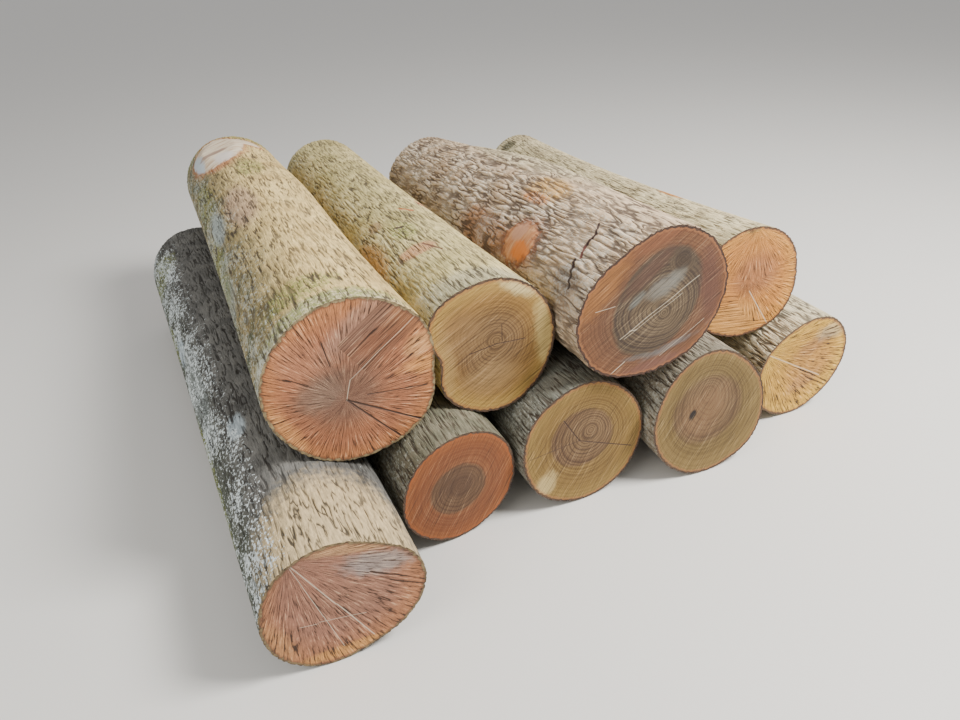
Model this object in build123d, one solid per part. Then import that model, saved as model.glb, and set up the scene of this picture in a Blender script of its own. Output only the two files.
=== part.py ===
from build123d import *
from dataclasses import dataclass
from itertools import product
import os
import numpy as np

# A heap of nine sawn hardwood logs. Five lie side by side on level ground, and four lie on those.
# Sizes are in millimetres. +Y runs along the logs from their front ends to their back ends,
# +X is to the right as seen from the front, +Z is up, and the ground is at Z = 0.
# Each log is drawn in its own frame first: x to the right, y up, z out of its front end.

stock_length = 2000.0  # what the logs were to be cut to
seat_gap = 0.5        # left where one log rests on another
cut_allowance = 60.0  # drawn past each end, and then sawn off
section_points = 24   # points round one section
section_pitch = 200.0       # between the sections of a clean stem, at most
bulge_section_pitch = 60.0  # the same on a stem with bulges
end_fade = 0.6        # share of the section's unevenness that is gone at the back end
saw_reach = 700.0     # a saw plane or a kerf is at least this wide
stub_reach = 1.6      # how far a saw cut reaches over a stub, in the swelling's own lengths


@dataclass
class Bulge:
    """A low swelling of the stem, such as a branch collar, or a hollow where the height is negative."""
    along: float     # from the front end
    turn: float      # degrees round the stem, 0 to the right and 90 at the top
    height: float
    length: float    # how far it reaches along the stem each way
    width: float     # how far it reaches round the stem each way
    sawn_at: float = None  # height of the flat saw cut over the clean stem


@dataclass
class Log:
    """One stem, as it was grown and as it was sawn to length."""
    name: str
    length: float
    front: float     # diameter at the front end
    middle: float
    back: float
    set_back: float  # how far its front end lies behind the foremost one
    oval: float = 0.0        # share by which one diameter is larger
    oval_turn: float = 0.0   # degrees from +X to the long diameter
    lobe: float = 0.0        # three-sided unevenness, as a share of the radius
    lobe_turn: float = 0.0
    flute: float = 0.006     # five shallow flutes, as a share of the radius
    flute_turn: float = 0.0
    bow: float = 0.0         # how far the middle stands to the right of the ends
    arch: float = 0.0        # how far the middle stands above the ends
    front_cut: tuple = (0.0, 0.0)  # degrees that the front face looks right and up
    back_cut: tuple = (0.0, 0.0)
    kerf: tuple = None  # where two saw cuts meet: turn of the line, its offset, the step
    bulges: tuple = ()
    front_gap: float = 0.0  # to the log on its left, at the front ends
    back_gap: float = 0.0

    def radius(self, along, angle):
        """Distance from the axis to the bark, at a place along the stem and an angle in radians."""
        share = along / self.length
        mean = 0.5 * (self.front * (1 - share) * (1 - 2 * share)
                      + self.middle * 4 * share * (1 - share)
                      + self.back * share * (2 * share - 1))
        fade = 1 - end_fade * share
        shape = (self.oval * np.cos(2 * (angle - np.radians(self.oval_turn)))
                 + self.lobe * np.cos(3 * (angle - np.radians(self.lobe_turn)))
                 + self.flute * np.cos(5 * (angle - np.radians(self.flute_turn))))
        swelling = 0
        for bulge in self.bulges:
            round_the_stem = np.remainder(angle - np.radians(bulge.turn) + np.pi, 2 * np.pi) - np.pi
            swelling = swelling + bulge.height * np.exp(
                -((along - bulge.along) / bulge.length) ** 2 - (round_the_stem * mean / bulge.width) ** 2)
        return mean * (1 + fade * shape) + swelling

    def bend_of_axis(self, along):
        """How far the axis stands to the right of and above the line through its ends."""
        share = along / self.length
        hump = 4 * share * (1 - share)
        return self.bow * hump, self.arch * hump

    def saw_cuts(self, x, y):
        """Where the two sawn faces lie along the stem, at a place in the section."""
        front, back = np.tan(np.radians(self.front_cut)), np.tan(np.radians(self.back_cut))
        return front[0] * x + front[1] * y, self.length - back[0] * x - back[1] * y


# The course on the ground, from left to right.
lower_logs = (
    Log("lower_log_1", stock_length + 160, front=404, middle=420, back=446, set_back=0,
        oval=0.036, oval_turn=28, lobe=0.038, lobe_turn=-4, flute_turn=20,
        front_cut=(-6.0, 2.0), back_cut=(2.0, -1.0), kerf=(-52.0, -12.0, 4.0),
        bulges=(Bulge(260, 25, 10, 260, 110),)),
    Log("lower_log_2", stock_length, front=384, middle=394, back=400, set_back=245,
        oval=0.045, oval_turn=94, flute_turn=50,
        front_cut=(3.5, -3.3), back_cut=(-1.5, 1.0), front_gap=10, back_gap=4),
    Log("lower_log_3", stock_length, front=426, middle=398, back=366, set_back=245,
        oval=0.013, oval_turn=120, flute_turn=5,
        front_cut=(-1.0, 2.7), back_cut=(1.0, 2.0), front_gap=14, back_gap=72),
    Log("lower_log_4", stock_length, front=430, middle=396, back=372, set_back=190,
        oval=0.027, oval_turn=98, lobe=0.017, lobe_turn=90, flute_turn=36,
        front_cut=(0.0, 5.6), back_cut=(-2.0, 0.0), front_gap=2, back_gap=200,
        bulges=(Bulge(300, 48, -12, 400, 90),)),
    Log("lower_log_5", stock_length, front=388, middle=344, back=320, set_back=280,
        oval=0.028, oval_turn=51, lobe=0.006, lobe_turn=30, flute_turn=62,
        front_cut=(2.8, -1.0), back_cut=(1.0, 1.5), kerf=(-24.0, 10.0, 3.0),
        front_gap=66, back_gap=206, bulges=(Bulge(300, 130, -9, 400, 80),)),
)
# The course above, laid from the right, with the two lower logs that each one lies between.
upper_logs = (
    (Log("upper_log_4", stock_length - 50, front=406, middle=336, back=350, set_back=397,
         oval=0.022, oval_turn=60, lobe=0.018, lobe_turn=70, flute_turn=44,
         front_cut=(-3.5, 1.0), back_cut=(-1.0, 1.0), kerf=(-62.0, 14.0, 3.0),
         bulges=(Bulge(160, 265, -30, 450, 190),)), ("lower_log_4", "lower_log_5")),
    (Log("upper_log_3", stock_length - 20, front=460, middle=440, back=402, set_back=245,
         oval=0.10, oval_turn=23, lobe=0.017, lobe_turn=-48, flute_turn=15,
         front_cut=(-1.7, 0.0), back_cut=(1.0, -1.0),
         bulges=(Bulge(620, 190, 9, 90, 90), Bulge(1250, 120, 8, 110, 100),
                 Bulge(940, 50, 46, 640, 210), Bulge(420, 300, 22, 320, 120))),
     ("lower_log_3", "lower_log_4")),
    (Log("upper_log_2", stock_length - 10, front=408, middle=382, back=384, set_back=371,
         oval=0.006, oval_turn=0, lobe=0.024, lobe_turn=35, flute_turn=70,
         front_cut=(-1.7, 4.8), back_cut=(1.5, 0.0),
         bulges=(Bulge(430, 165, 16, 95, 80), Bulge(760, 20, 14, 60, 45, sawn_at=8),
                 Bulge(0, 184, -50, 450, 90))), ("lower_log_2", "lower_log_3")),
    (Log("upper_log_1", stock_length - 60, front=472, middle=438, back=428, set_back=330,
         oval=0.014, oval_turn=8, flute_turn=28,
         front_cut=(-0.8, 3.4), back_cut=(0.0, -2.0), kerf=(48.0, 30.0, 4.0),
         bulges=(Bulge(1745, 105, 26, 110, 130, sawn_at=7),
                 Bulge(1250, 50, 18, 380, 170), Bulge(260, -4, -34, 320, 90))),
     ("lower_log_1", "lower_log_2")),
)


halves = (np.linspace(0, 0.5, 21), np.linspace(0.5, 1, 21))  # shares of a log's length
lower_side = np.linspace(-200, 20, 89)  # degrees round a log, with both flanks
upper_side = np.linspace(-20, 200, 89)


class Lie:
    """Where a log lies: the points where its axis meets the two ends."""

    def __init__(self, log, front, back):
        self.log = log
        self.ends = np.array([front, back], float)

    def frame(self):
        """The front end's centre, and unit vectors to the right, up and along the axis."""
        along = self.ends[1] - self.ends[0]
        along = along / np.linalg.norm(along)
        right = np.cross(along, (0, 0, 1))
        right = right / np.linalg.norm(right)
        return self.ends[0], right, np.cross(right, along), along

    def keep_length(self):
        """Moves the back end along Y, so that the ends are the log's length apart."""
        across = self.ends[1] - self.ends[0]
        reach = np.sqrt(self.log.length ** 2 - across[0] ** 2 - across[2] ** 2)
        self.ends[1][1] = self.ends[0][1] + reach

    def bark(self, share, angle):
        """Points on the bark, at these shares of the length and these degrees round the stem."""
        share, angle = np.meshgrid(share, np.radians(angle))
        along = share * self.log.length
        for _ in range(2):
            radius = self.log.radius(along, angle)
            bow, arch = self.log.bend_of_axis(along)
            x = bow + radius * np.cos(angle)
            y = arch + radius * np.sin(angle)
            first, last = self.log.saw_cuts(x, y)
            along = first + share * (last - first)
        start, right, up, axis = self.frame()
        points = start + x[..., None] * right + y[..., None] * up + along[..., None] * axis
        return points.reshape(-1, 3), share.ravel()

    def gaps_to(self, points):
        """How far points lie outside this log, the way from its axis to each, and their share
        of its length."""
        start, right, up, axis = self.frame()
        offset = points - start
        along = offset @ axis
        x = offset @ right
        y = offset @ up
        first, last = self.log.saw_cuts(x, y)
        past_the_ends = np.maximum(first - along, along - last)
        bow, arch = self.log.bend_of_axis(along)
        distance = np.hypot(x - bow, y - arch)
        gap = distance - self.log.radius(along, np.arctan2(y - arch, x - bow))
        away = (((x - bow) / distance)[:, None] * right
                + ((y - arch) / distance)[:, None] * up)
        return np.maximum(gap, past_the_ends), away, along / self.log.length

    def push_out(self, end, gap, away, share, wanted):
        """Moves one end so that the place at this share of the length is the wanted gap away."""
        leverage = share if end else 1 - share
        move = away * (wanted - gap) / max(leverage, 0.5)
        self.ends[end] += (move[0], 0, move[2])
        self.keep_length()

    def rest_on_ground(self):
        """Raises or lowers each end until both halves touch the ground."""
        for _ in range(40):
            for end in (0, 1):
                points, share = self.bark(halves[end], lower_side)
                lowest = np.argmin(points[:, 2])
                self.push_out(end, points[lowest, 2], np.array((0, 0, 1.0)), share[lowest], 0)

    def push_off(self, end, other, bark_of_other):
        """Pushes this end off another log that is nearer than the seat gap."""
        points, share = self.bark(halves[end], lower_side)
        gaps, away, _ = other.gaps_to(points)
        nearest = np.argmin(gaps)
        gap, way, place = gaps[nearest], away[nearest], share[nearest]
        gaps, away, share = self.gaps_to(bark_of_other)
        gaps[(share < 0.5) if end else (share >= 0.5)] = np.inf
        nearest = np.argmin(gaps)
        if gaps[nearest] < gap:
            gap, way, place = gaps[nearest], -away[nearest], share[nearest]
        if gap < seat_gap:
            self.push_out(end, gap, way, place, seat_gap)

    def settle_between(self, others):
        """Lets the log sink in ever smaller steps, and pushes it off what it would enter."""
        barks = [other.bark(np.linspace(0, 1, 41), upper_side)[0] for other in others]
        for step in np.geomspace(40, 0.02, 34):
            self.ends[:, 2] -= step
            for end, (other, bark) in list(product((0, 1), zip(others, barks))) * 2:
                self.push_off(end, other, bark)


def lie_of_lower_logs():
    """Lays the lower course side by side, each log by its gaps to the one on its left."""
    lies = []
    for log in lower_logs:
        if lies:
            left = lies[-1]
            front_x = left.ends[0][0] + left.log.radius(0, 0) + log.radius(0, np.pi) + log.front_gap
            back_x = (left.ends[1][0] + left.log.radius(left.log.length, 0)
                      + log.radius(log.length, np.pi) + log.back_gap)
        else:
            front_x, back_x = 0.0, -136.0
        lie = Lie(log, (front_x, log.set_back, log.front / 2),
                  (back_x, log.set_back + log.length, log.back / 2))
        lie.keep_length()
        lie.rest_on_ground()
        lies.append(lie)
    return lies


def lie_of_upper_logs(lower):
    """Lays the upper course, each log in the valley between two lower ones."""
    lower = {lie.log.name: lie for lie in lower}
    lies = []
    for log, (left, right) in upper_logs:
        start = (lower[left].ends + lower[right].ends) / 2
        start[:, 2] += 0.9 * log.front
        start[:, 1] = log.set_back
        start[1, 1] += log.length
        lie = Lie(log, *start)
        lie.keep_length()
        lie.settle_between([lower[left], lower[right]] + lies[-1:])
        lies.append(lie)
    return lies


def section(log, along):
    """The outline of the stem at one place, as a face in the log's own frame."""
    angle = np.linspace(0, 2 * np.pi, section_points, endpoint=False)
    radius = log.radius(along, angle)
    bow, arch = log.bend_of_axis(along)
    points = [(bow + r * np.cos(a), arch + r * np.sin(a), -along) for r, a in zip(radius, angle)]
    turns = [i / section_points for i in range(section_points + 1)]
    return make_face(Edge.make_spline(points, periodic=True, parameters=turns))


def stem(log):
    """The whole stem, lofted a little longer than the log."""
    pitch = bulge_section_pitch if log.bulges else section_pitch
    drawn = log.length + 2 * cut_allowance
    stations = np.linspace(-cut_allowance, log.length + cut_allowance, int(np.ceil(drawn / pitch)) + 1)
    return loft([section(log, along) for along in stations])


def saw_plane(origin, cut, outwards):
    """A plane across the stem, whose face looks out of one end by the cut's two angles."""
    right, up = np.tan(np.radians(cut))
    return Plane(origin=origin, z_dir=(right, up, outwards))


def saw_to_length(log, body):
    """Cuts off both ends, and the step where two cuts from opposite sides meet."""
    front = saw_plane((0, 0, 0), log.front_cut, 1)
    body = split(body, bisect_by=front, keep=Keep.BOTTOM)
    body = split(body, bisect_by=saw_plane((0, 0, -log.length), log.back_cut, -1), keep=Keep.BOTTOM)
    if log.kerf:
        turn, offset, step = log.kerf
        beyond_line = Pos(offset + saw_reach / 2, 0, 0) * Box(saw_reach, 2 * saw_reach, 2 * step)
        body = body - front * Rot(0, 0, turn) * beyond_line
    return body


def saw_stubs(log, body):
    """Saws off flat the branch stubs that are to be, each within the reach of its own swelling."""
    for bulge in log.bulges:
        if bulge.sawn_at is not None:
            angle = np.radians(bulge.turn)
            outwards = (np.cos(angle), np.sin(angle), 0)
            distance = log.radius(bulge.along, angle) - bulge.height + bulge.sawn_at
            bow, arch = log.bend_of_axis(bulge.along)
            origin = (bow + distance * outwards[0], arch + distance * outwards[1], -bulge.along)
            reach = stub_reach * bulge.length, stub_reach * bulge.width
            sawn_off = Pos(0, 0, bulge.height) * Box(2 * reach[0], 2 * reach[1], 2 * bulge.height)
            body = body - Plane(origin=origin, x_dir=(0, 0, 1), z_dir=outwards) * sawn_off
    return body


def build_log(lie):
    """One log as a solid, where it lies."""
    body = saw_stubs(lie.log, saw_to_length(lie.log, stem(lie.log)))
    start, right, up, along = lie.frame()
    return Plane(origin=tuple(start), x_dir=tuple(right), z_dir=tuple(-along)) * body


def build_heap():
    """All the logs by name, with the origin on the ground under the middle of the heap."""
    lower = lie_of_lower_logs()
    lies = lower + lie_of_upper_logs(lower)
    logs = {lie.log.name: build_log(lie) for lie in lies}
    boxes = [log.bounding_box() for log in logs.values()]
    middle_x = (min(box.min.X for box in boxes) + max(box.max.X for box in boxes)) / 2
    middle_y = (min(box.min.Y for box in boxes) + max(box.max.Y for box in boxes)) / 2
    ground = min(box.min.Z for box in boxes)
    return {name: Pos(-middle_x, -middle_y, -ground) * log for name, log in logs.items()}


os.makedirs("parts", exist_ok=True)
for name, log in build_heap().items():
    export_step(log, f"parts/{name}.step")
    print(name, "volume", round(log.volume / 1e9, 3), "m3")
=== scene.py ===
import bpy
import math
import numpy as np
from mathutils import Matrix, Vector


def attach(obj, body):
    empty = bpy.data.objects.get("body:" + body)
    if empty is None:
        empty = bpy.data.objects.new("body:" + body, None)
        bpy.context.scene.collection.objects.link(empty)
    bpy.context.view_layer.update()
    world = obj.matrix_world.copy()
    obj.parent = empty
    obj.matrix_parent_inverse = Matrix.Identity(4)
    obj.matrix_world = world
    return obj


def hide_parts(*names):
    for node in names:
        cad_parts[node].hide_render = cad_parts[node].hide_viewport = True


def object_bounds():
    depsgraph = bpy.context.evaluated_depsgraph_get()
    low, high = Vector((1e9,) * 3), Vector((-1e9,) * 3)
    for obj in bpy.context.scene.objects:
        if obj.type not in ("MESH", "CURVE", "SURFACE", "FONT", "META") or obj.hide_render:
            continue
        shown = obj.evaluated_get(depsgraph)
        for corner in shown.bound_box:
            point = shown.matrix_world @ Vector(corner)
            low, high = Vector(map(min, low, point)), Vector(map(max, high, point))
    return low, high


# A heap of nine sawn logs: rough bark round each stem, and saw-cut end grain at both ends.
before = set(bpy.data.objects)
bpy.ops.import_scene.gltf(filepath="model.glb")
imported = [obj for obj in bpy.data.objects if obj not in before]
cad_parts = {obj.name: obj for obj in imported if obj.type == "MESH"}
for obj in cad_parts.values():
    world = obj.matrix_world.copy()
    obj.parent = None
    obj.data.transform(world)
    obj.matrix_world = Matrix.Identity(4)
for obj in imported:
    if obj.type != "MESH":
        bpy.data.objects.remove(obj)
cadBox = [list(corner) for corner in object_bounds()]
print("frame loaded,", len(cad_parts), "logs")


def linearColour(hexText):
    channels = [int(hexText[i:i + 2], 16) / 255 for i in (1, 3, 5)]
    return [c / 12.92 if c <= 0.04045 else ((c + 0.055) / 1.055) ** 2.4 for c in channels] + [1.0]


def addNode(tree, kind, links=None, operation=None, **settings):
    # links holds what goes into each socket: a node, one of its outputs, or a plain value
    node = tree.nodes.new(kind if "Node" in kind else "ShaderNode" + kind)
    if operation:
        node.operation = operation
    for name, value in settings.items():
        setattr(node, name, value)
    for socket, value in (links or {}).items():
        if isinstance(value, bpy.types.Node):
            value = next(output for output in value.outputs if output.enabled)
        if isinstance(value, bpy.types.NodeSocket):
            tree.links.new(value, node.inputs[socket])
        else:
            node.inputs[socket].default_value = value
    return node


def times(tree, first, second):
    return addNode(tree, "Math", {0: first, 1: second}, "MULTIPLY")


def patches(tree, place, scale, detail, low, high, least=0.0, most=1.0, roughness=0.5):
    # noise, spread out so that low and under gives the least, and high and over the most
    noise = addNode(tree, "TexNoise", {
        "Vector": place, "Scale": scale, "Detail": detail, "Roughness": roughness})
    return addNode(tree, "MapRange", {0: noise, 1: low, 2: high, 3: least, 4: most})


def layColour(tree, colour, mask, hexText):
    return addNode(tree, "Mix", {0: mask, 6: colour, 7: linearColour(hexText)}, data_type="RGBA")


# Sizes from here on are in metres, and turns in degrees: 0 to the right seen from the front, 90 at the top.
stem = {
    "around": 360,       # faces round one stem, under 4 mm each
    "longCuts": 10,      # cuts in each long edge, made twice
    "tube": 0.34,        # radius of the open tube that is drawn in onto the log
    "spare": 0.05,       # drawn past each end before it is sawn
    "capSquares": 84,    # squares along each side of the sawn grid
    "sawReach": 0.68,    # width of that grid, more than any log's
    "sawDepth": 0.3,     # how much is cut away beyond the saw
    "sawWave": 0.0012,   # how uneven a chainsaw leaves the face
    "smoothTo": 50,      # faces that meet under a smaller angle look smooth
    "radius": 0.21,      # at which the bark's pattern is rolled out
}
# gap: from one fissure to the next. run: how long one is. wander: how far it strays. broken: how much of the
# bark has none. dashes: how deep the short pits between them are, of 1. seed: so that no two logs are alike.
# Places on the bark are along the stem and the turn round it. algaeAndShade and lichen: (hex, amount, turn,
# spread); the first is a green film of algae, darkened on upper_log_1 as painted shade on its flank.
# moss: (along, turn, halfLength, halfWidth). spots: the same, hex and strength. bare: the same and how ragged
# it is, where the bark is rubbed or cut away. gashes: (along, turn, along, turn, width, hex).
# sawn: a cut stub, (along, turn, reach).
bark = {
    "gap": 0.010, "run": 0.085, "width": 0.0012, "wander": 0.006, "broken": 0.55, "dashes": 0.75,
    "depth": 0.0032, "ridge": "#d3bd8a", "flat": "#a8946a", "fissure": "#3d3226", "mossGreen": "#848a42",
    "algaeAndShade": ("#5f6a48", 0.5, 180, 100), "lichen": ("#c9ccbf", 0.35, 180, 90),
    "moss": (), "spots": (), "bare": (), "gashes": (), "sawn": (),
}
barkOf = {
    # upper_log_1: the dark green on its left flank is partly algae and partly painted shade
    "upper_log_1": dict(
        bark, seed=1.0, ridge="#efd08c", flat="#c8a96c", algaeAndShade=("#3f4b36", 0.95, 176, 90),
        lichen=("#cdd1c4", 0.55, 175, 80),
        moss=((1.36, 87, 0.13, 0.05), (1.34, 150, 0.2, 0.06), (0.8, 165, 0.25, 0.05), (0.16, 108, 0.06, 0.1),
            (1.93, 110, 0.05, 0.3), (0.05, 95, 0.04, 0.2)),
        spots=((0.98, 114, 0.2, 0.06, "#b3917a", 0.6), (1.0, 146, 0.15, 0.04, "#9fa9a4", 0.85),
            (0.55, 166, 0.12, 0.05, "#8f9a92", 0.6), (1.53, 112, 0.06, 0.05, "#b6754c", 0.6),
            (0.03, 110, 0.05, 0.22, "#cfc8ae", 0.6)),
        bare=((1.73, 109, 0.19, 0.115, 0.35), (1.785, 76, 0.065, 0.075, 0.35)), sawn=((1.745, 105, 0.26),)),
    "upper_log_2": dict(
        bark, seed=2.0, gap=0.0095, run=0.075, ridge="#e8d294", flat="#beaa70",
        algaeAndShade=("#737a4c", 0.4, 150, 110), moss=((0.55, 108, 0.08, 0.05),),
        spots=((0.52, 152, 0.16, 0.06, "#bf9358", 0.8), (0.37, 112, 0.04, 0.07, "#c78f66", 0.75),
            (0.86, 52, 0.04, 0.03, "#c0765a", 0.8), (0.69, 126, 0.04, 0.03, "#8a6646", 0.6),
            (0.02, 120, 0.1, 0.3, "#8b9290", 0.35)),
        gashes=((0.755, 90, 0.715, 79, 0.007, "#b0562a"), (0.86, 57, 0.845, 48, 0.006, "#7a3a24"),
            (0.395, 104, 0.31, 95, 0.005, "#6b4a38"), (0.595, 111, 0.58, 105, 0.008, "#4a3b33"),
            (0.54, 126, 0.45, 128, 0.0022, "#85734f"), (0.545, 130, 0.46, 136, 0.0022, "#85734f"),
            (0.55, 122, 0.47, 119, 0.0022, "#85734f"), (0.545, 133, 0.48, 142, 0.0022, "#85734f"),
            (0.47, 78, 0.43, 66, 0.0028, "#5b4c38")), sawn=((0.76, 20, 0.09),)),
    "upper_log_3": dict(
        bark, seed=3.0, gap=0.017, run=0.1, width=0.0019, broken=0.12, wander=0.015, depth=0.0055,
        dashes=0.25, ridge="#e2c8a4", flat="#b89c7c", fissure="#4a3a2e", algaeAndShade=("#66706a", 0.25, 200, 80),
        lichen=("#ccd0cc", 0.3, 140, 90),
        spots=((0.74, 160, 0.22, 0.07, "#a87650", 0.75), (0.45, 150, 0.12, 0.1, "#a8795c", 0.6),
            (0.57, 96, 0.12, 0.05, "#d0a25e", 0.85), (0.58, 110, 0.08, 0.022, "#cc8440", 0.85),
            (0.13, 158, 0.06, 0.05, "#6e5d4f", 0.7), (1.0, 60, 0.5, 0.1, "#c4bb92", 0.5)),
        bare=((0.47, 152, 0.085, 0.062, 1.1),),
        gashes=((0.205, 106, 0.171, 116, 0.005, "#4a3a33"), (0.171, 116, 0.161, 130, 0.008, "#3a2520"),
            (0.161, 130, 0.139, 139, 0.006, "#6b4038"), (0.152, 143, 0.132, 150, 0.007, "#3a2a24"),
            (0.132, 150, 0.1, 162, 0.005, "#40342c"))),
    "upper_log_4": dict(
        bark, seed=4.0, gap=0.011, ridge="#e8d6a8", flat="#bfab82", algaeAndShade=("#6d7550", 0.3, 150, 90),
        spots=((0.54, 71, 0.08, 0.03, "#cc8338", 0.85), (1.85, 120, 0.05, 0.05, "#47452f", 0.8))),
    # lower_log_1: its grey bark is darkened partly as painted shade, and the tan spot over its front top is
    # painted sunlight, ending where upper_log_1's shadow fell
    "lower_log_1": dict(
        bark, seed=5.0, gap=0.014, run=0.07, ridge="#75726b", flat="#55534e", fissure="#28231d",
        depth=0.0042, algaeAndShade=("#454e36", 0.7, 190, 70), lichen=("#d4dbd8", 1.0, 152, 48),
        moss=((1.95, 150, 0.12, 0.1), (0.6, 175, 0.3, 0.04), (1.45, 170, 0.15, 0.03)),
        spots=((1.3, 157, 0.1, 0.03, "#aebbc0", 0.9), (0.6, 121, 0.055, 0.032, "#aab4b6", 0.9),
            # the first spot on the next line, tan, is painted sunlight on the front top
            (0.05, 80, 0.2, 0.23, "#c9b184", 0.92), (0.95, 152, 0.3, 0.05, "#8d9490", 0.5))),
    "lower_log_2": dict(bark, seed=6.0, ridge="#998d76", flat="#756b58", algaeAndShade=("#4c5440", 0.6, 90, 140)),
    "lower_log_3": dict(bark, seed=7.0, ridge="#98917f", flat="#757062", algaeAndShade=("#565f58", 0.5, 90, 140)),
    "lower_log_4": dict(bark, seed=8.0, ridge="#a89a84", flat="#807461", algaeAndShade=("#565c50", 0.4, 120, 120)),
    "lower_log_5": dict(
        bark, seed=9.0, gap=0.015, width=0.002, broken=0.4, ridge="#e6d6b2", flat="#bfae8a",
        algaeAndShade=("#5f5f48", 0.15, 90, 90)),
}


def makeActive(piece):
    bpy.ops.object.select_all(action="DESELECT")
    piece.select_set(True)
    bpy.context.view_layer.objects.active = piece


def meshArrays(mesh):
    # the points, then each face's normal, centre and area
    arrays = []
    for parts, key, width in ((mesh.vertices, "co", 3), (mesh.polygons, "normal", 3),
                              (mesh.polygons, "center", 3), (mesh.polygons, "area", 1)):
        values = np.empty(len(parts) * width)
        parts.foreach_get(key, values)
        arrays.append(values.reshape(-1, 3) if width == 3 else values)
    return arrays


def readLog(node):
    # the two sawn faces, which look along the stem near either end, and the axis between their middles
    points, normals, centres, areas = meshArrays(node.data)
    spread = np.linalg.svd(points[::3] - points.mean(0), full_matrices=False)[2][0]
    along = spread * np.sign(spread[1])
    ends = {}
    for end, way in (("front", -1), ("back", 1)):
        reach = (centres - points.mean(0)) @ along * way
        isEnd = (normals @ along * way > 0.9) & (reach > reach.max() - 0.12)   # in the last 120 mm
        weight = areas[isEnd][:, None]
        normal = (normals[isEnd] * weight).sum(0)
        normal /= np.linalg.norm(normal)
        centre = (centres[isEnd] * weight).sum(0) / weight.sum()
        ends[end] = {"centre": centre, "normal": normal, "way": way,
                     "heights": (centres[isEnd] - centre) @ normal}
    along = ends["back"]["centre"] - ends["front"]["centre"]
    length = np.linalg.norm(along)
    along /= length
    right = np.cross(along, (0, 0, 1))
    right /= np.linalg.norm(right)
    up = np.cross(right, along)
    # the step where two saw cuts met: small faces across the saw plane, inside the outline
    for end in ends.values():
        offset = centres - end["centre"]
        height = offset @ end["normal"]
        inside = np.linalg.norm(offset - height[:, None] * end["normal"], axis=1) < 0.14
        isStep = inside & (abs(height) < 0.01) & (abs(normals @ end["normal"]) < 0.2)
        end["step"] = None
        if isStep.any():
            weight = areas[isStep][:, None]
            facing = (normals[isStep] * weight).sum(0)
            end["step"] = {"place": (centres[isStep] * weight).sum(0) / weight.sum(),
                           "facing": facing / np.linalg.norm(facing),
                           "high": end["heights"].max(), "low": end["heights"].min()}
    return {"start": ends["front"]["centre"], "along": along, "right": right, "up": up,
            "length": length, "ends": ends}


def inLogFrame(log, points):
    offset = points - log["start"]
    return np.column_stack([offset @ log["right"], offset @ log["up"], offset @ log["along"]])


def setAttribute(mesh, name, kind, values):
    if name in mesh.attributes:
        mesh.attributes.remove(mesh.attributes[name])
    layer = mesh.attributes.new(name, kind, "POINT")
    layer.data.foreach_set("vector" if kind == "FLOAT_VECTOR" else "value",
                           np.ascontiguousarray(values, dtype=np.float32).ravel())


def applyModifier(piece, kind, **settings):
    makeActive(piece)
    modifier = piece.modifiers.new(kind.lower(), kind)
    for name, value in settings.items():
        setattr(modifier, name, value)
    bpy.ops.object.modifier_apply(modifier=modifier.name)


def editAll(action="SELECT"):
    bpy.ops.object.mode_set(mode="EDIT")
    bpy.ops.mesh.select_all(action=action)


def editThese(piece, kind, chosen):
    # edit mode with just these edges or faces picked
    editAll("DESELECT")
    bpy.ops.mesh.select_mode(type=kind)
    bpy.ops.object.mode_set(mode="OBJECT")
    parts = piece.data.polygons if kind == "FACE" else piece.data.edges
    parts.foreach_set("select", chosen)
    bpy.ops.object.mode_set(mode="EDIT")


def wayOf(turn):
    return math.cos(math.radians(turn)), math.sin(math.radians(turn)), 0


def turnTo(log, facing):
    # a turn that takes +Z to this way, and +X as near as can be to the log's right
    side = Vector(log["right"]) - Vector(log["right"]).dot(facing) * facing
    side.normalize()
    return Matrix((side, facing.cross(side), facing)).transposed()


def outward(tree, place):
    # the way from the axis out to this place
    flat = addNode(tree, "VectorMath", {0: place, 1: (1, 1, 0)}, "MULTIPLY")
    return addNode(tree, "VectorMath", {0: flat}, "NORMALIZE")


def unroll(tree, place):
    # the bark as if rolled out flat: metres to the right of the top line, and metres along the stem
    parts = addNode(tree, "SeparateXYZ", {0: place})
    turn = addNode(tree, "Math", {0: parts.outputs[0], 1: parts.outputs[1]}, "ARCTAN2")
    return addNode(tree, "CombineXYZ", {0: times(tree, turn, stem["radius"]), 1: parts.outputs[2]})


def onUnrolled(along, turn):
    return math.radians(90 - turn) * stem["radius"], along


def spotOn(tree, flat, x, y, halfX, halfY, turn=0.0, ragged=0.8, soft=0.5):
    # 1 inside an oval spot with a ragged edge, 0 outside it
    off = addNode(tree, "VectorMath", {0: flat, 1: (x, y, 0)}, "SUBTRACT")
    cos, sin, _ = wayOf(turn)
    across = addNode(tree, "VectorMath", {0: off, 1: (cos / halfX, sin / halfX, 0)}, "DOT_PRODUCT")
    upward = addNode(tree, "VectorMath", {0: off, 1: (-sin / halfY, cos / halfY, 0)}, "DOT_PRODUCT")
    both = addNode(tree, "CombineXYZ", {0: across, 1: upward})
    size = addNode(tree, "VectorMath", {0: both}, "LENGTH")
    fringe = addNode(tree, "TexNoise", {"Vector": flat, "Scale": 42.0, "Detail": 5.0, "Roughness": 0.6})
    size = addNode(tree, "Math", {0: fringe, 1: ragged, 2: size}, "MULTIPLY_ADD")
    edge = 1 + ragged / 2
    return addNode(tree, "MapRange", {0: size, 1: edge - soft / 2, 2: edge + soft / 2, 3: 1.0, 4: 0.0},
                   interpolation_type="SMOOTHSTEP")


def barkSpot(tree, unrolled, along, turn, halfLength, halfWidth, **edge):
    return spotOn(tree, unrolled, *onUnrolled(along, turn), halfWidth, halfLength, **edge)


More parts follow.
